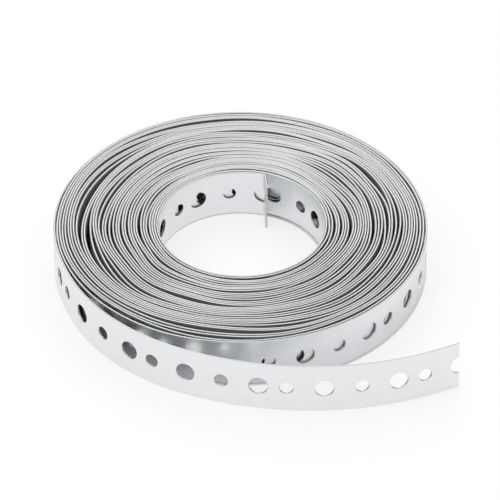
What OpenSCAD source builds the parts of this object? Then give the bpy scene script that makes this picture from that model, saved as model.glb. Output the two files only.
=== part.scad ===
// Perforated steel strap wound into a coil that lies on its edge, in millimetres.
// The coil is two turned halves, with centres half a pitch apart, so its turns run out as a spiral.

/* [Strap] */
// Width of the strap, which is the height of the coil
strap_w = 20; // [14:0.5:30]
// Thickness of the steel
strap_t = 0.75; // [0.5:0.05:1]

/* [Holes] */
// Diameter of the large holes
large_d = 7.1; // [5:0.1:8]
// Diameter of the small holes
small_d = 5.1; // [3:0.1:5.5]
// Short step, between a small hole and the large hole behind it
close_pitch = 10.3; // [9:0.1:12]
// Long step, used three times in each group of four holes
wide_pitch = 13.9; // [12.5:0.1:16]

/* [Coil] */
// Radius of the bore at the inner end of the strap
bore_r = 31.5; // [26:0.5:40]
// Number of whole turns
turns = 33; // [20:1:36]
// Mean gap between one turn and the next
turn_gap = 0.43; // [0.3:0.01:0.6]
// Depth of the gaps that show between the turns on both ends
turn_relief = 3; // [0.5:0.1:5]
// Angle of the inner end round the coil
inner_end_deg = 75; // [65:1:85]

/* [Free end] */
// Angle at which the last turn leaves the coil
leave_deg = 194; // [188:1:200]
// Radius of the first length, which springs away from the coil
spring_r = 112; // [100:1:130]
// Sweep of the first length
spring_deg = 9; // [6:0.5:14]
// Radius of the middle length
curl_r = 77.5; // [76:0.5:90]
// Sweep of the middle length
curl_deg = 42.5; // [30:0.5:50]
// Radius of the last length, up to the cut end
end_r = 118; // [105:1:135]
// Sweep of the last length
end_deg = 52.8; // [40:0.1:60]

/* [Inner tab] */
// Inside radius of the bend
bend_r = 1; // [0.5:0.1:2]
// Angle of the bend
bend_deg = 70; // [50:1:90]
// Straight length of the tab past the bend
tab_l = 7; // [5:0.5:12]

/* [Hidden] */
$fn = 96;
pitch = strap_t + turn_gap;
group = close_pitch + 3 * wide_pitch;
mid_t = strap_t / 2;
hole_z = strap_w / 2;
// Each length of the free end starts inside the one before it, and is a hair slimmer all round
lap_deg = 0.6;
lap_slim = 0.01;
// The tab starts this far inside the innermost turn, and this much deeper
tab_lap = 0.3;
tab_sink = 0.09;

// Radius of the outer face of each of the outermost lengths
run_r = bore_r + turns * pitch + strap_t;
under_r = run_r - pitch;
second_r = run_r - pitch / 2;

// Centre of the second half of each turn
second_c = pitch / 2 * [cos(inner_end_deg), sin(inner_end_deg)];

// Corners of the free end, from arc to arc
head_0 = leave_deg + 90;
head_1 = head_0 + spring_deg;
head_2 = head_1 + curl_deg;
head_3 = head_2 + end_deg;
leave_p = run_r * [cos(leave_deg), sin(leave_deg)];
spring_c = leave_p + spring_r * [-sin(head_0), cos(head_0)];
spring_p = spring_c + spring_r * [sin(head_1), -cos(head_1)];
curl_c = spring_p + curl_r * [-sin(head_1), cos(head_1)];
curl_p = curl_c + curl_r * [sin(head_2), -cos(head_2)];
end_c = curl_p + end_r * [-sin(head_2), cos(head_2)];
end_p = end_c + end_r * [sin(head_3), -cos(head_3)];

// Lengths along the middle of the strap, counted back from the cut end
end_s = (end_r - mid_t) * end_deg * PI / 180;
curl_s = end_s + (curl_r - mid_t) * curl_deg * PI / 180;
spring_s = curl_s + (spring_r - mid_t) * spring_deg * PI / 180;
run_s = spring_s + (run_r - mid_t) * (leave_deg - inner_end_deg) * PI / 180;
second_s = run_s + (second_r - mid_t) * PI;
under_s = second_s + (under_r - mid_t) * (inner_end_deg + 180 - leave_deg) * PI / 180;

// Lengths along the innermost turn, counted from the bend
inner_s = (bore_r + mid_t) * PI;
inner_full_s = inner_s + (bore_r + pitch / 2 + mid_t) * PI;

// Middle of the whole piece on the floor
mid_x = (end_p[0] - run_r) / 2;
mid_y = (run_r + end_c[1] - end_r) / 2;

// Distance of hole i back from the cut end, and of hole j forward from the bend
function back_s(i) = floor(i / 4) * group + [0, wide_pitch, wide_pitch + close_pitch, group - wide_pitch][i % 4];
function fore_s(j) = floor(j / 4) * group + [0, wide_pitch, 2 * wide_pitch, group - wide_pitch][j % 4];
function hole_d(i) = i % 2 == 0 ? large_d : small_d;
function turned(s, r) = s / (r - mid_t) * 180 / PI;

// Outline of n turns side by side from radius r, with the gaps open for a little way at both ends
function foot(n, r) = [for (k = [0 : n - 1], c = [0 : 3]) if (k < n - 1 || c < 2)
    [r + k * pitch + [0, strap_t, strap_t, pitch][c], [0, 0, turn_relief, turn_relief][c]]];
function over(pts) = [for (i = [len(pts) - 1 : -1 : 0]) [pts[i][0], strap_w - pts[i][1]]];
function comb(n, r) = concat(foot(n, r), over(foot(n, r)));

// One half of the coil, n turns deep
module half_coil(n, r, sweep) {
    rotate_extrude(angle = sweep)
        polygon(comb(n, r));
}

// A length of strap along an arc, given its centre, start, sweep and how much slimmer it is
module strap_arc(c, r, start, sweep, slim) {
    translate([c[0], c[1], slim])
        rotate([0, 0, start - lap_deg])
            rotate_extrude(angle = sweep + lap_deg)
                translate([r - strap_t + slim, 0])
                    square([strap_t - 2 * slim, strap_w - 2 * slim]);
}

// A punch at one angle of an arc, reaching deep in from just off the outer face
module punch(c, r, a, d, deep) {
    translate([c[0], c[1], hole_z])
        rotate([0, 0, a])
            translate([r - deep, 0, 0])
                rotate([0, 90, 0])
                    cylinder(h = deep + 1, d = d);
}

// A punch from the bore outwards
module bore_punch(c, r, a, d) {
    translate([c[0], c[1], hole_z])
        rotate([0, 0, a])
            translate([r - 1, 0, 0])
                rotate([0, 90, 0])
                    cylinder(h = 1 + pitch, d = d);
}

// The turned coil
module coil() {
    rotate([0, 0, inner_end_deg]) {
        half_coil(turns, bore_r, 180);
        translate([pitch / 2, 0, 0])
            rotate([0, 0, 180])
                half_coil(turns, bore_r + pitch / 2, 180);
        half_coil(2, under_r - strap_t, leave_deg - inner_end_deg);
    }
}

// The last length, loose from the coil
module free_end() {
    strap_arc(spring_c, spring_r, head_0 - 90, spring_deg, lap_slim);
    strap_arc(curl_c, curl_r, head_1 - 90, curl_deg, 2 * lap_slim);
    strap_arc(end_c, end_r, head_2 - 90, end_deg, 3 * lap_slim);
}

// The inner end, bent in across the bore
module tab_place() {
    rotate([0, 0, inner_end_deg])
        translate([bore_r - bend_r + tab_sink, tab_lap, 0])
            rotate([0, 0, -bend_deg])
                children();
}

module inner_tab() {
    tab_place() {
        rotate_extrude(angle = bend_deg)
            translate([bend_r, 0])
                square([strap_t, strap_w]);
        translate([bend_r, -tab_l, 0])
            cube([strap_t, tab_l, strap_w]);
    }
}

// Half of the hole that the bend runs through
module tab_punch() {
    tab_place()
        translate([bend_r - 1, 0, hole_z])
            rotate([0, 90, 0])
                cylinder(h = strap_t + 2, d = large_d);
}

// Holes of the free end and of the outside of the coil
module outer_punches() {
    for (i = [0 : 4 * ceil(under_s / group)]) {
        s = back_s(i);
        if (s < end_s)
            punch(end_c, end_r, head_3 - 90 - turned(s, end_r), hole_d(i), 4 * strap_t);
        else if (s < curl_s)
            punch(curl_c, curl_r, head_2 - 90 - turned(s - end_s, curl_r), hole_d(i), 2 * strap_t);
        else if (s < spring_s)
            punch(spring_c, spring_r, head_1 - 90 - turned(s - curl_s, spring_r), hole_d(i), pitch);
        else if (s < run_s)
            punch([0, 0], run_r, leave_deg - turned(s - spring_s, run_r), hole_d(i), pitch);
        else if (s < second_s)
            punch(second_c, second_r, inner_end_deg - turned(s - run_s, second_r), hole_d(i), pitch);
        else if (s < under_s - large_d)
            punch([0, 0], under_r, inner_end_deg + 180 - turned(s - second_s, under_r), hole_d(i), pitch);
    }
}

// Holes of the innermost turn
module inner_punches() {
    for (j = [0 : 4 * ceil(inner_full_s / group)]) {
        s = fore_s(j);
        if (s < inner_s)
            bore_punch([0, 0], bore_r, inner_end_deg + turned(s, bore_r + strap_t), hole_d(j));
        else if (s < inner_full_s - large_d)
            bore_punch(second_c, bore_r + pitch / 2,
                inner_end_deg + 180 + turned(s - inner_s, bore_r + pitch / 2 + strap_t), hole_d(j));
    }
}

module strap() {
    color([0.75, 0.77, 0.79])
        translate([-mid_x, -mid_y, 0])
            difference() {
                union() {
                    coil();
                    free_end();
                    inner_tab();
                }
                outer_punches();
                inner_punches();
                tab_punch();
            }
}

strap();
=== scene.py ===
import math

import bpy
import numpy as np
from mathutils import Matrix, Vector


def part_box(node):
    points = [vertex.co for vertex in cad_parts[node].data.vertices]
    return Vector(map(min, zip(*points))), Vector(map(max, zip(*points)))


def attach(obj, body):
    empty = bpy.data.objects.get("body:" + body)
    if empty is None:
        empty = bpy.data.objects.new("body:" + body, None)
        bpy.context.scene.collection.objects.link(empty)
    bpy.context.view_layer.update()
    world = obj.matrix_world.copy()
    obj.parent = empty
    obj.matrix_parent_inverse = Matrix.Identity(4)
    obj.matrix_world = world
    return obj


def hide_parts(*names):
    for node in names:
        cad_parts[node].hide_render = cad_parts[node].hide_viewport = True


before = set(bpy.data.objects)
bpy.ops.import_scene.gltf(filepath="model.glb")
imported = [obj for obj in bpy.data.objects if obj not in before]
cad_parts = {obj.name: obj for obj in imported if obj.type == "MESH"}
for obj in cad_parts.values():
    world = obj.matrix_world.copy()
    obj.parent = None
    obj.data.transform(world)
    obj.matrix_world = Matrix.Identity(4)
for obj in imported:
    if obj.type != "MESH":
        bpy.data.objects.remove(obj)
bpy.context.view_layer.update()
print("frame loaded:", sorted(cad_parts))

metre = 0.001  # one millimetre, in metres

# strap, in millimetres and degrees round the coil
strapSet = {
    # section and holes
    "width": 20.0,
    "thick": 0.75,
    "innerBreak": 0.3,     # rounding of the slit edges on the inner side
    "outerBreak": 0.17,    # and on the outer side
    "rimBreak": 0.1,       # bevel round the punched side of a hole
    "largeHole": 7.1,
    "smallHole": 5.1,
    "wideStep": 13.9,
    "closeStep": 10.3,
    "firstHole": -0.3,     # middle of the hole at the bend, past the end of the bend
    "innerHole": (4.0, 67.7),      # group and angle of the large hole one turn on from the bend
    "outerHole": (9.4654, -47.1),  # groups back from the cut end and angle of one on the last turn

    # coil, loose end and tab
    "boreR": 31.5,
    "turns": 33,
    "turnGap": 0.43,       # mean gap between turns
    "innerEnd": 75.0,      # angle of the inner end
    "leave": 194.0,        # angle where the last turn leaves the coil
    "tailArcs": [(112.0, 9.0), (77.5, 42.5), (118.0, 52.8)],  # outer radius and sweep
    "tailLean": 3.7,       # the loose end leans back towards the coil
    "leanRun": 70.0,       # length over which it comes to lean
    "bendR": 1.0,
    "bend": 70.0,
    "tab": 7.0,

    # how the turns lie
    "leastGap": 0.07,      # gap where the turns are bunched
    "plainWeight": 0.15,   # share of the spare room that any gap takes
    "seed": 7,
    "slightPlaces": 150,   # slighter loose places, spread by chance
    "slightMargin": 0.6,   # turns at both ends that they keep clear of
    "slightHalf": (12.0, 40.0),
    "slightOpening": (0.1, 0.5),
    "settling": 5,         # times that the loose places look for their gap
    "stiffness": 4.0,      # degrees over which the steel evens out a bend
    "bulge": (235.0, 32.0, 1.3),  # angle, half length and height of the bulge by the loose end
    "uneven": 0.3,         # how far a turn rides up above its neighbours
    "rideWaves": (8.9, 2.1, 1.0),  # two rates in each turn, and where the second one starts
    "levelRun": (250.0, 500.0),    # lengths at the inner and outer end over which it comes level

    # grid
    "perTurn": 720,        # samples of the spiral in one turn
    "tabSteps": 20,
    "bendSteps": 40,
    "arcSteps": 240,
    "normalReach": 0.2,    # length each way over which the strap's direction is read
    "fineCells": (34, 96),     # holes at the inner and outer end that are made round and bevelled
    "holeColumns": (4, 20),    # columns across a plain and a fine hole
    "sideColumns": (1, 2),     # columns on each side of it
    "bendColumns": 72,         # columns across the hole at the bend
    "sharpAngle": 50.0,

    # finish of the faces, with lengths along the strap in metres
    "streakScale": (25, 900, 1),
    "streakDetail": 3.0,
    "cloudScale": 120.0,
    "cloudDetail": 4.0,
    "spangleScale": 300.0,
    "fleck": 0.06,         # how far a zinc fleck shifts the tone and the roughness, up or down
    "faceTones": [(0.12, (0.82, 0.832, 0.85, 1)), (0.42, (0.86, 0.872, 0.89, 1))],
    "faceRough": (0.26, 0.42),
    "faceBump": (0.08, 0.00005),    # strength and depth
    "woundIn": (0.8, 1.05),         # length over which painted shade darkens the face inside the coil, and the face grows rougher
    "woundOut": (9.3, 9.0),         # and the same from the outer end inwards
    # painted shade: the dark tone of the faces wound inside, standing for the shade in the gaps between turns
    "paintedGapShade": (0.33, 0.355, 0.35, 1),
    "woundRough": 0.85,

    # finish of the slit edges and punched walls
    "markScale": (40, 900, 1),
    "markDetail": 3.0,
    "edgeTones": [(0.3, (0.475, 0.489, 0.481, 1)), (0.7, (0.545, 0.559, 0.551, 1))],
    "edgeRough": (0.2, 0.32),
}

# loose places between turns, as seen on the coil's top: radius, angle, half length in degrees, opening
loosePlaces = [
    (64.0, 142, 34, 1.5), (62.3, 152, 32, 1.3), (60.8, 158, 32, 1.4), (60.3, 176, 30, 1.7),
    (58.6, -170, 28, 1.7), (57.3, -157, 26, 1.6), (55.8, -146, 26, 1.4), (54.4, -131, 28, 1.6),
    (54.4, 162, 26, 1.2), (52.6, 158, 28, 0.9), (53.8, 178, 20, 0.9), (51.2, -178, 20, 0.8),
    (49.8, -165, 36, 1.0), (49.0, -113, 36, 1.9), (70.2, -126, 26, 1.3), (68.0, -98, 30, 2.2),
    (66.2, -124, 32, 0.9), (63.7, -100, 38, 2.5), (41.6, -138, 36, 0.9), (41.8, -88, 34, 1.3),
    (37.6, -128, 30, 0.7), (33.4, -100, 60, 1.0), (58.0, -118, 18, 0.7), (45.7, -94, 18, 0.7),
    (62.3, -75, 30, 1.0), (60.7, -72, 22, 0.7), (50.3, -45, 34, 1.1), (51.0, 2, 40, 1.3),
    (42.6, -50, 24, 0.9), (34.3, -40, 36, 0.8), (54.4, -20, 26, 1.2), (55.8, 6, 26, 1.2),
    (56.8, 30, 28, 1.5), (62.3, -36, 26, 0.9), (58.7, -26, 26, 1.2), (60.5, -12, 26, 1.1),
    (59.8, -50, 24, 0.8), (57.1, -42, 24, 0.8), (58.2, 0, 22, 0.9), (46.3, -26, 26, 0.9),
    (66.5, -26, 32, 0.8), (67.5, -56, 32, 0.8), (60.0, 6, 22, 1.1), (55.0, 43, 20, 0.8),
    (50.5, 42, 28, 0.9), (46.8, 32, 30, 0.9), (45.3, 45, 22, 0.7), (58.9, 80, 30, 1.1),
    (62.3, 57, 24, 0.7), (66.5, 88, 28, 0.9), (68.5, 65, 26, 0.7), (66.3, 116, 30, 0.9),
    (57.2, 125, 22, 0.8), (56.6, 144, 22, 0.9), (42.0, 120, 26, 0.7), (37.0, 151, 28, 0.9),
    (38.7, -178, 34, 0.7), (43.8, -175, 34, 0.7), (46.3, -170, 34, 0.7), (35.3, -172, 34, 0.6),
    (38.3, 0, 34, 0.7), (41.2, 6, 34, 0.6), (35.6, -4, 34, 0.6), (43.3, 20, 30, 0.6),
]


# outside of the coil: bore, then a pitch for each turn, then the last thickness
def outerRadius(s):
    return s["boreR"] + s["turns"] * (s["thick"] + s["turnGap"]) + s["thick"]


# axis of the coil on the floor, in metres: one outer radius in from the CAD box's left and back
def coilAxis():
    lo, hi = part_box("strap")
    return lo.x + outerRadius(strapSet) * metre, hi.y - outerRadius(strapSet) * metre


# ease from 0 to 1: 3x squared less 2x cubed, held at both ends
def ease(x):
    x = np.clip(x, 0, 1)
    return x * x * (3 - 2 * x)


# hump of height 1: cos squared over a quarter turn each way, and 0 beyond
def hump(x):
    return np.cos(np.clip(x, -1, 1) * np.pi / 2) ** 2


# rise within one turn, in pitches: none over the first half, then (1 + cos of the turned angle) / 2
def turnRise(share):
    return np.where(share < 0.5, 0.0, (1 + np.cos(2 * np.pi * share)) / 2)


# running mean weighed by a bell curve, held at both ends
def smoothed(values, width):
    reach = int(3 * width)
    bell = np.exp(-0.5 * (np.arange(-reach, reach + 1) / width) ** 2)
    return np.convolve(np.pad(values, reach, mode="edge"), bell / bell.sum(), mode="valid")


# middle radius at each sample: the even spiral, plus what the gaps before it add or take;
# a gap is the least gap plus its share of what is left, weighed by the loose places round it,
# and each loose place goes to the gap that comes nearest to its radius
def windCoil(s):
    turns, pitch, perTurn = s["turns"], s["thick"] + s["turnGap"], s["perTurn"]
    share = np.arange(perTurn) / perTurn
    tau = np.arange(turns + 1)[:, None] + share
    even = s["boreR"] + s["thick"] / 2 + pitch * (np.floor(tau) + turnRise(share))
    rng = np.random.default_rng(s["seed"])
    slight = s["slightPlaces"]
    slightWhere = rng.uniform(s["slightMargin"], turns - s["slightMargin"], slight)
    placed = np.array(loosePlaces, float)
    column = np.round((placed[:, 1] - s["innerEnd"]) / 360 * perTurn).astype(int) % perTurn
    half = np.concatenate([placed[:, 2], rng.uniform(*s["slightHalf"], slight)]) / 360
    opening = np.concatenate([placed[:, 3], rng.uniform(*s["slightOpening"], slight)])
    spare = turns * (s["turnGap"] - s["leastGap"])
    radius = even
    for attempt in range(s["settling"]):
        gapRadius = (radius[:-1] + radius[1:])[:, column] / 2
        nearest = np.abs(gapRadius - placed[:, 0]).argmin(axis=0)
        where = np.concatenate([nearest + column / perTurn, slightWhere])
        weight = s["plainWeight"] + (opening * hump((tau[:-1, :, None] - where) / half)).sum(axis=2)
        gap = s["leastGap"] + spare * weight / weight.sum(axis=0)
        carried = (gap[0, 0] - s["turnGap"]) * ease(share)
        shift = np.vstack([np.zeros(perTurn), np.cumsum(gap - s["turnGap"], axis=0)]) + carried
        radius = even + shift
    tau = tau.ravel()
    radius = even.ravel() + smoothed(shift.ravel(), s["stiffness"] / 360 * perTurn)
    angle, length, height = s["bulge"]
    middle = turns - 1 + (angle - s["innerEnd"]) / 360
    radius += height * hump((tau - middle) / (length / 360))
    keep = tau <= turns + (s["leave"] - s["innerEnd"]) / 360
    return tau[keep], radius[keep]


# points along an arc: centre plus radius times the turned normal of the heading
def arcPoints(start, heading, radius, sweep, steps):
    turn = heading + np.linspace(0, math.radians(sweep), steps + 1)[1:]
    centre = start + radius * np.array([-math.sin(heading), math.cos(heading)])
    return centre + radius * np.column_stack([np.sin(turn), -np.cos(turn)]), turn[-1]


# middle line of the strap seen from above: tab, bend, spiral and the arcs of the loose end
def strapPath(s):
    inner = math.radians(s["innerEnd"])
    mid = s["thick"] / 2
    tau, radius = windCoil(s)
    angle = inner + 2 * np.pi * tau
    coil = radius[:, None] * np.column_stack([np.cos(angle), np.sin(angle)])
    heading = inner + math.pi / 2 - math.radians(s["bend"])
    bendMid = s["bendR"] + mid
    bendCentre = (s["boreR"] - s["bendR"]) * np.array([math.cos(inner), math.sin(inner)])
    bendStart = bendCentre + bendMid * np.array([math.sin(heading), -math.cos(heading)])
    along = np.array([math.cos(heading), math.sin(heading)])
    tab = bendStart + np.linspace(-s["tab"], 0, s["tabSteps"])[:, None] * along
    bend = arcPoints(bendStart, heading, bendMid, s["bend"], s["bendSteps"])[0]
    parts = [tab, bend[:-1], coil]
    start = coil[-1]
    heading = math.radians(s["leave"] + 90)
    for outerR, sweep in s["tailArcs"]:
        points, heading = arcPoints(start, heading, outerR - mid, sweep, s["arcSteps"])
        parts.append(points)
        start = points[-1]
    line = np.concatenate(parts)
    run = np.concatenate([[0], np.cumsum(np.hypot(*np.diff(line, axis=0).T))])
    counts = np.cumsum([len(p) for p in parts])
    wound = run[counts[1]:counts[2]]
    marks = {"bendEnd": wound[0], "leave": wound[-1], "end": run[-1], "tau": tau, "wound": wound}
    return line, run, marks


# point at a length along the path, between the samples on both sides of it
def pointAt(line, run, u):
    return np.stack([np.interp(u, run, line[:, 0]), np.interp(u, run, line[:, 1])], axis=-1)


# outer side at a length along the path: the direction there, turned a quarter to the right
def outerSide(line, run, u, reach):
    ahead = pointAt(line, run, np.minimum(u + reach, run[-1])) - pointAt(line, run, np.maximum(u - reach, 0))
    ahead /= np.linalg.norm(ahead, axis=-1, keepdims=True)
    return np.stack([ahead[..., 1], -ahead[..., 0]], axis=-1)


# hole middles along the strap: large and small in turn, with the steps wide, wide, close, wide;
# groups of four lie evenly between the holes whose places are known
def holeRow(s, marks):
    wide, group = s["wideStep"], 3 * s["wideStep"] + s["closeStep"]
    first = marks["bendEnd"] + s["firstHole"]
    end = marks["end"]
    innerGroup, innerAngle = s["innerHole"]
    back, outerAngle = s["outerHole"]
    inner = np.interp((innerAngle - s["innerEnd"]) / 360 + 1, marks["tau"], marks["wound"])
    outer = np.interp((outerAngle - s["innerEnd"]) / 360 + s["turns"], marks["tau"], marks["wound"])
    groups = round((end - first) / group)
    loose = (end - marks["leave"]) / group
    knots = [0, innerGroup, groups - back - 1, groups - back + 1, groups - loose, groups]
    places = [first, inner, outer - group, outer + group, marks["leave"], end]
    starts = np.interp(np.arange(groups + 1), knots, places)
    inGroup = np.array([0, wide, 2 * wide, 2 * wide + s["closeStep"]]) / group
    middles = (starts[:-1, None] + np.diff(starts)[:, None] * inGroup).ravel()
    middles = np.append(middles, starts[-1])
    radii = np.where(np.arange(len(middles)) % 2 == 0, s["largeHole"], s["smallHole"]) / 2
    print("holes:", len(middles))
    print("group between the known holes:", np.round(np.diff(places) / np.diff(knots), 2))
    return middles, radii


# columns of the strap's grid: each cell is one hole with the steel to half way to its neighbours,
# and the columns across a hole stand at equal angles round it
def strapColumns(s, marks):
    middles, radii = holeRow(s, marks)
    cells = len(middles)
    left = np.append(0, (middles[1:] + middles[:-1]) / 2)
    right = np.append(left[1:], middles[-1])
    number = np.arange(cells)
    fine = (number < s["fineCells"][0]) | (number >= cells - s["fineCells"][1])
    across = np.where(fine, s["holeColumns"][1], s["holeColumns"][0])
    across[0] = s["bendColumns"]
    side = np.where(fine, s["sideColumns"][1], s["sideColumns"][0])
    count = across + 2 * side
    count[-1] = side[-1] + across[-1] // 2
    cell = np.append(np.repeat(number, count), cells - 1)
    local = np.append(np.arange(count.sum()) - np.repeat(np.cumsum(count) - count, count), count[-1])
    a, b = across[cell], side[cell]
    rim = np.where(fine, s["rimBreak"], 0)[cell]
    turn = np.pi * (1 - np.clip((local - b) / a, 0, 1))
    inner, outer = radii[cell], radii[cell] + rim
    mid = middles[cell]
    toLeft = (left[cell] - mid + outer) * (1 - np.minimum(local / b, 1))
    toRight = (right[cell] - mid - outer) * np.maximum((local - b - a) / b, 0)
    punched = (local > b) & (local < b + a)
    evenly = left[cell] + (right - left)[cell] * local / count[cell]
    uOuter = mid + outer * np.cos(turn) + toLeft + toRight
    return {
        "outer": uOuter,
        "inner": mid + inner * np.cos(turn) + toLeft + toRight,
        "edge": np.where(cell == 0, uOuter, evenly),
        "outerOpen": np.where(punched, outer * np.sin(turn), 0),
        "innerOpen": np.where(punched, inner * np.sin(turn), 0),
        "punched": punched,
        "fine": fine[cell],
        "inHole": ((local >= b) & (local < b + a))[:-1],
    }


# the strap's section carried along the path: 14 rows, 7 below the holes and 7 above them;
# a row is a place along the strap, a depth from its middle and a height
def strapRows(s, c):
    half, width, rim = s["thick"] / 2, s["width"], s["rimBreak"]
    inBreak, outBreak = s["innerBreak"], s["outerBreak"]
    mid = width / 2
    level = np.zeros_like(c["outer"])
    deep = half - np.where(c["fine"], rim, 0)
    below = [
        (c["edge"], level + half, level + outBreak),
        (c["outer"], level + half, mid - c["outerOpen"]),
        (c["inner"], deep, mid - c["innerOpen"]),
        (c["inner"], level - half, mid - c["innerOpen"]),
        (c["edge"], level - half, level + inBreak),
        (c["edge"], level - half + inBreak, level),
        (c["edge"], level + half - outBreak, level),
    ]
    above = [(u, d, width - z) for u, d, z in below]
    return [np.stack(part) for part in zip(*(below + above))]


# rows in order round the section, below the holes and above them
lowerLoop = [0, 1, 2, 3, 4, 5, 6]
upperLoop = [8, 7, 13, 12, 11, 10, 9]


# points of the grid: the path's point, moved out by the depth and back by the lean times the height,
# and up by a wave that lets some turns ride above their neighbours
def strapPoints(s, line, run, marks, u, d, z):
    outward = outerSide(line, run, u, s["normalReach"])
    lean = math.tan(math.radians(s["tailLean"])) * ease((u - marks["leave"]) / s["leanRun"])
    xy = pointAt(line, run, u) + outward * (d - lean * z)[..., None]
    turnsIn = u / marks["end"] * s["turns"]
    fast, slow, start = s["rideWaves"]
    atInner, atOuter = s["levelRun"]
    level = ease(u / atInner) * ease((marks["leave"] - u) / atOuter)
    lift = s["uneven"] * level * (0.5 + 0.5 * np.sin(fast * turnsIn) * np.cos(slow * turnsIn + start))
    points = np.column_stack([xy[..., 0].ravel(), xy[..., 1].ravel(), (z + lift).ravel()])
    return points + np.array([*coilAxis(), 0]) / metre


# vertex numbers of the grid: rows above a column with no hole share the vertices of the rows below it,
# and a plain column has no bevel row
def gridIndex(shape, c):
    index = np.arange(shape[0] * shape[1]).reshape(shape)
    closed, plain = ~c["punched"], ~c["fine"]
    for low in (1, 2, 3):
        index[low + 7, closed] = index[low, closed]
    index[2, plain] = index[1, plain]
    index[9, plain] = index[8, plain]
    return index


# quads between neighbouring rows of a loop, over the columns that a mask picks
def loopQuads(index, loop, pairs, mask):
    at = np.nonzero(mask)[0]
    near = index[[loop[p] for p in pairs]]
    far = index[[loop[(p + 1) % 7] for p in pairs]]
    return np.stack([near[:, at], near[:, at + 1], far[:, at + 1], far[:, at]], axis=-1).reshape(-1, 4)


# faces of the strap: first the two broad faces, then slit edges, punched walls and their bevels,
# and last the closed ends
def strapFaces(index, c):
    every = np.ones(index.shape[1] - 1, bool)
    inHole = c["inHole"]
    bevelled = inHole & c["fine"][:-1]
    broad = [loopQuads(index, lowerLoop, [0, 3], every), loopQuads(index, upperLoop, [0, 4], every)]
    cut = [
        loopQuads(index, lowerLoop, [4, 5, 6], every), loopQuads(index, upperLoop, [1, 2, 3], every),
        loopQuads(index, lowerLoop, [2], inHole), loopQuads(index, upperLoop, [5], inHole),
        loopQuads(index, lowerLoop, [1], bevelled), loopQuads(index, upperLoop, [6], bevelled),
    ]
    caps = [
        index[[0, 1, 7, 13, 12, 11, 3, 4, 5, 6], 0],
        index[lowerLoop[::-1], -1],
        index[upperLoop[::-1], -1],
    ]
    return np.concatenate(broad + cut), caps, sum(len(q) for q in broad)


# shading: smooth, but sharp past an angle and along the lines where a broad face meets a cut one
def shadeStrap(mesh, cut, corners, angle):
    mesh.polygons.foreach_set("use_smooth", np.ones(len(cut), bool))
    mesh.set_sharp_from_angle(angle=math.radians(angle))
    edgeOf = np.zeros(len(mesh.loops), np.int32)
    mesh.loops.foreach_get("edge_index", edgeOf)
    cutLoop = np.repeat(cut, corners)
    cutSides = np.bincount(edgeOf, weights=cutLoop, minlength=len(mesh.edges))
    broadSides = np.bincount(edgeOf, weights=1 - cutLoop, minlength=len(mesh.edges))
    sharp = np.zeros(len(mesh.edges), bool)
    mesh.edges.foreach_get("use_edge_sharp", sharp)
    mesh.edges.foreach_set("use_edge_sharp", sharp | ((cutSides > 0) & (broadSides > 0)))


# the strap's mesh: the grid's used points and faces, with a map that runs along the strap and across it
def buildStrap(s):
    line, run, marks = strapPath(s)
    columns = strapColumns(s, marks)
    u, d, z = strapRows(s, columns)
    index = gridIndex(u.shape, columns)
    quads, caps, cutFrom = strapFaces(index, columns)
    used = np.unique(np.concatenate([quads.ravel()] + caps))
    renumber = np.zeros(u.size, int)
    renumber[used] = np.arange(len(used))
    points = strapPoints(s, line, run, marks, u, d, z)[used]
    faces = renumber[quads].tolist() + [renumber[c].tolist() for c in caps]
    mesh = bpy.data.meshes.new("strap")
    mesh.from_pydata(points * metre, [], faces)
    mesh.update()
    vertexOf = np.zeros(len(mesh.loops), np.int32)
    mesh.loops.foreach_get("vertex_index", vertexOf)
    flat = np.column_stack([u.ravel(), (z + d).ravel()])[used] * metre
    strapMap = mesh.uv_layers.new(name="strapMap")
    strapMap.data.foreach_set("uv", flat[vertexOf].astype(np.float32).ravel())
    cut = (np.arange(len(faces)) >= cutFrom).astype(np.int32)
    mesh.polygons.foreach_set("material_index", cut)
    shadeStrap(mesh, cut, [len(f) for f in faces], s["sharpAngle"])
    piece = bpy.data.objects.new("perforated_strap", mesh)
    bpy.context.scene.collection.objects.link(piece)
    triangles = sum(len(f) - 2 for f in faces)
    print("strap:", len(points), "points,", triangles, "triangles,", round(marks["end"]), "mm long")
    return piece


# a node with its options set, and each input linked from a socket or given a value
def addNode(tree, kind, inputs, **options):
    node = tree.nodes.new(kind)
    for name, value in options.items():
        setattr(node, name, value)
    for key, value in inputs.items():
        if isinstance(value, bpy.types.NodeSocket):
            tree.links.new(value, node.inputs[key])
        else:
            node.inputs[key].default_value = value
    return node


# two values added, multiplied or compared
def joined(tree, operation, a, b):
    return addNode(tree, "ShaderNodeMath", {0: a, 1: b}, operation=operation).outputs[0]


# a value from 0 to 1 spread over a range
def spread(tree, value, low, high):
    inputs = {"Value": value, "To Min": low, "To Max": high}
    return addNode(tree, "ShaderNodeMapRange", inputs).outputs["Result"]


# colour between two tones, each at its own position
def toned(tree, value, tones):
    ramp = addNode(tree, "ShaderNodeValToRGB", {"Fac": value})
    for element, (position, colour) in zip(ramp.color_ramp.elements, tones):
        element.position = position
        element.color = colour
    return ramp.outputs["Color"]


# noise on the strap's map, stretched by a scale
def stretchedNoise(tree, uv, scale, detail):
    stretch = addNode(tree, "ShaderNodeMapping", {"Vector": uv, "Scale": scale}).outputs["Vector"]
    inputs = {"Vector": stretch, "Scale": 1.0, "Detail": detail}
    return addNode(tree, "ShaderNodeTexNoise", inputs).outputs["Fac"]


# how far inside the coil a place along the strap lies: 0 on the turns at both ends, 1 on those between; it
# masks the painted shade of the gaps between turns and the rougher faces there
def woundShare(tree, uv, s):
    along = addNode(tree, "ShaderNodeSeparateXYZ", {"Vector": uv}).outputs["X"]
    shares = []
    for start, end in s["woundIn"], s["woundOut"]:
        inputs = {"Value": along, "From Min": start, "From Max": end}
        shares.append(addNode(tree, "ShaderNodeMapRange", inputs).outputs["Result"])
    return joined(tree, "MULTIPLY", *shares)


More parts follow.
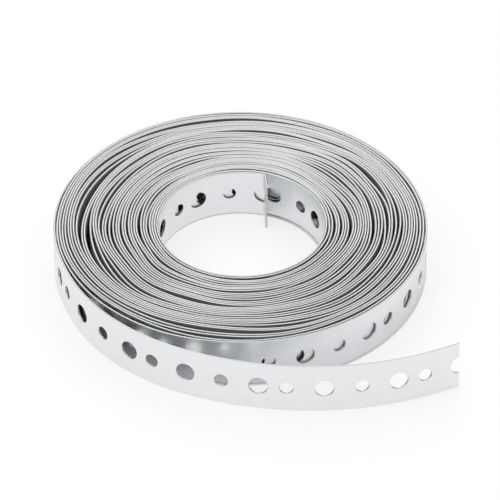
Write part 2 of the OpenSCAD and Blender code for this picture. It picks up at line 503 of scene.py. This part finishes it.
# bare metal material with the strap's map
def metalBase(name):
    material = bpy.data.materials.new(name)
    material.use_nodes = True
    tree = material.node_tree
    shader = tree.nodes["Principled BSDF"]
    shader.inputs["Metallic"].default_value = 1.0
    uv = addNode(tree, "ShaderNodeUVMap", {}, uv_map="strapMap").outputs["UV"]
    return material, tree, shader, uv


# galvanised face: rolled streaks times a soft cloud, plus zinc flecks; on the turns wound inside, painted
# shade darkens it for the gaps between turns, and it is rougher there
def zincFace(s):
    material, tree, shader, uv = metalBase("zincFace")
    streak = stretchedNoise(tree, uv, s["streakScale"], s["streakDetail"])
    inputs = {"Vector": uv, "Scale": s["cloudScale"], "Detail": s["cloudDetail"]}
    cloud = addNode(tree, "ShaderNodeTexNoise", inputs).outputs["Fac"]
    inputs = {"Vector": uv, "Scale": s["spangleScale"]}
    spangle = addNode(tree, "ShaderNodeTexVoronoi", inputs).outputs["Color"]
    fleck = spread(tree, spangle, -s["fleck"], s["fleck"])
    tone = toned(tree, joined(tree, "ADD", joined(tree, "MULTIPLY", streak, cloud), fleck), s["faceTones"])
    wound = woundShare(tree, uv, s)
    # painted shade: faces wound inside the coil take a dark tone for the shade in the gaps between turns
    inputs = {0: wound, 6: tone, 7: s["paintedGapShade"]}
    shadedTone = addNode(tree, "ShaderNodeMix", inputs, data_type="RGBA").outputs[2]
    tree.links.new(shadedTone, shader.inputs["Base Color"])
    rough = joined(tree, "ADD", spread(tree, cloud, *s["faceRough"]), fleck)
    matt = addNode(tree, "ShaderNodeMix", {0: wound, 2: rough, 3: s["woundRough"]}).outputs[0]
    tree.links.new(matt, shader.inputs["Roughness"])
    strength, depth = s["faceBump"]
    inputs = {"Height": streak, "Strength": strength, "Distance": depth}
    tree.links.new(addNode(tree, "ShaderNodeBump", inputs).outputs["Normal"], shader.inputs["Normal"])
    return material


# slit edges and punched walls: barer steel whose tone and roughness follow fine marks
def cutEdge(s):
    material, tree, shader, uv = metalBase("cutEdge")
    marks = stretchedNoise(tree, uv, s["markScale"], s["markDetail"])
    tree.links.new(toned(tree, marks, s["edgeTones"]), shader.inputs["Base Color"])
    tree.links.new(spread(tree, marks, *s["edgeRough"]), shader.inputs["Roughness"])
    return material


strap = buildStrap(strapSet)
strap.data.materials.append(zincFace(strapSet))
strap.data.materials.append(cutEdge(strapSet))
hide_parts("strap")
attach(strap, "root")
print("strap finished")

# floor and light
studioSet = {
    "floorSize": 6.0,
    "floorColour": (0.9, 0.9, 0.9, 1),
    "floorGlow": 0.65,     # share of plain white that the floor shows, the rest takes the shadow
    "curlMiddle": (7.8, -3.6),        # middle of the loose end's curve, from the axis, in millimetres
    "curlRadius": 77.5,
    "worldLight": (0.5, 1.3),         # level at the horizon and on the bright side of the room
    "brightSide": (-0.15, 0.1, 0.98),
    "lamps": [  # place in metres, size, power
        ((-0.9, -0.7, 1.3), 1.0, 1.4),
        ((1.0, -0.3, 1.2), 1.0, 0.4),
        ((0.0, 1.1, 0.9), 0.7, 2.7),
    ],
}


# 1 where the distance from a point on the floor is over a radius (GREATER_THAN) or under it (LESS_THAN)
def fromPoint(tree, point, radius, side):
    place = addNode(tree, "ShaderNodeTexCoord", {}).outputs["Object"]
    away = addNode(tree, "ShaderNodeVectorMath", {0: place, 1: (*point, 0)}, operation="DISTANCE")
    return joined(tree, side, away.outputs["Value"], radius)


# where plain white shows in the floor: camera and glass rays see it clear of the coil,
# and mirror rays see it outside the loose end and in the bore; the glow is left off under the coil and, for
# mirror rays, inside the loose end's curve, where the floor lies in shade
def plainWhite(tree, s):
    rays = addNode(tree, "ShaderNodeLightPath", {}).outputs
    axis = coilAxis()
    curl = [a + b * metre for a, b in zip(axis, s["curlMiddle"])]
    bore = fromPoint(tree, axis, strapSet["boreR"] * metre, "LESS_THAN")
    around = fromPoint(tree, axis, outerRadius(strapSet) * metre, "GREATER_THAN")
    beyond = fromPoint(tree, curl, s["curlRadius"] * metre, "GREATER_THAN")
    direct = joined(tree, "MAXIMUM", rays["Is Camera Ray"], rays["Is Transmission Ray"])
    seen = joined(tree, "MULTIPLY", direct, joined(tree, "MAXIMUM", bore, around))
    mirrored = joined(tree, "MULTIPLY", rays["Is Glossy Ray"], joined(tree, "MAXIMUM", bore, beyond))
    return joined(tree, "MAXIMUM", seen, mirrored)


# a square floor round the origin: matt white that takes the shadow, mixed with plain white
def buildFloor(s):
    mesh = bpy.data.meshes.new("floor")
    corners = np.array([[-1, -1, 0], [1, -1, 0], [1, 1, 0], [-1, 1, 0]]) * s["floorSize"] / 2
    mesh.from_pydata(corners, [], [[0, 1, 2, 3]])
    floor = bpy.data.objects.new("floor", mesh)
    bpy.context.scene.collection.objects.link(floor)
    material = bpy.data.materials.new("paleFloor")
    material.use_nodes = True
    tree = material.node_tree
    tree.nodes.clear()
    white = addNode(tree, "ShaderNodeBsdfDiffuse", {"Color": s["floorColour"]}).outputs["BSDF"]
    glow = addNode(tree, "ShaderNodeEmission", {"Strength": 1.0}).outputs["Emission"]
    share = joined(tree, "MULTIPLY", plainWhite(tree, s), s["floorGlow"])
    mix = addNode(tree, "ShaderNodeMixShader", {0: share, 1: white, 2: glow}).outputs["Shader"]
    addNode(tree, "ShaderNodeOutputMaterial", {"Surface": mix})
    mesh.materials.append(material)


# the room: its level rises from the horizon as a direction nears the bright side
def buildWorld(s):
    world = bpy.data.worlds.new("studio")
    bpy.context.scene.world = world
    world.use_nodes = True
    tree = world.node_tree
    sky = tree.nodes["Background"]
    sky.inputs["Color"].default_value = (1, 1, 1, 1)
    where = addNode(tree, "ShaderNodeTexCoord", {}).outputs["Generated"]
    facing = addNode(tree, "ShaderNodeVectorMath", {0: where, 1: s["brightSide"]}, operation="DOT_PRODUCT")
    tree.links.new(spread(tree, facing.outputs["Value"], *s["worldLight"]), sky.inputs["Strength"])


# a square soft lamp turned to the middle of the scene: its back axis points away from there
def buildLamp(name, place, size, power):
    light = bpy.data.lights.new(name, "AREA")
    light.size = size
    light.energy = power
    lamp = bpy.data.objects.new(name, light)
    back = np.array(place) / np.linalg.norm(place)
    lamp.rotation_euler = (math.acos(back[2]), 0, math.atan2(back[0], -back[1]))
    lamp.location = place
    bpy.context.scene.collection.objects.link(lamp)


buildFloor(studioSet)
buildWorld(studioSet)
for number, (place, size, power) in enumerate(studioSet["lamps"]):
    buildLamp("softLamp%d" % number, place, size, power)
print("studio built")

# camera, placed from the axis of the coil, in millimetres and degrees
cameraSet = {
    "place": (0.0, -1043.6, 843.6),
    "pitch": 38.72,
    "yaw": -0.195,
    "roll": 0.54,
    "focalPixels": 3500.0,
    "imagePixels": 500.0,
    "sensor": 36.0,
    "farthest": 50.0,      # metres
}


# a turn about one axis, as a matrix
def turned(degrees, axis):
    return Matrix.Rotation(math.radians(degrees), 4, axis)


# camera: roll, then tilt down by the pitch from level, then yaw, then its place;
# the lens is the focal length in pixels as a share of the picture, times the sensor
def buildCamera(s):
    axisX, axisY = coilAxis()
    x, y, z = s["place"]
    data = bpy.data.cameras.new("camera")
    data.sensor_width = s["sensor"]
    data.lens = s["focalPixels"] / s["imagePixels"] * s["sensor"]
    data.clip_end = s["farthest"]
    camera = bpy.data.objects.new("camera", data)
    spot = Matrix.Translation((axisX + x * metre, axisY + y * metre, z * metre))
    camera.matrix_world = spot @ turned(s["yaw"], "Z") @ turned(90 - s["pitch"], "X") @ turned(s["roll"], "Z")
    bpy.context.scene.collection.objects.link(camera)
    bpy.context.scene.camera = camera


buildCamera(cameraSet)
bpy.context.scene.view_settings.view_transform = "Standard"
print("camera set")
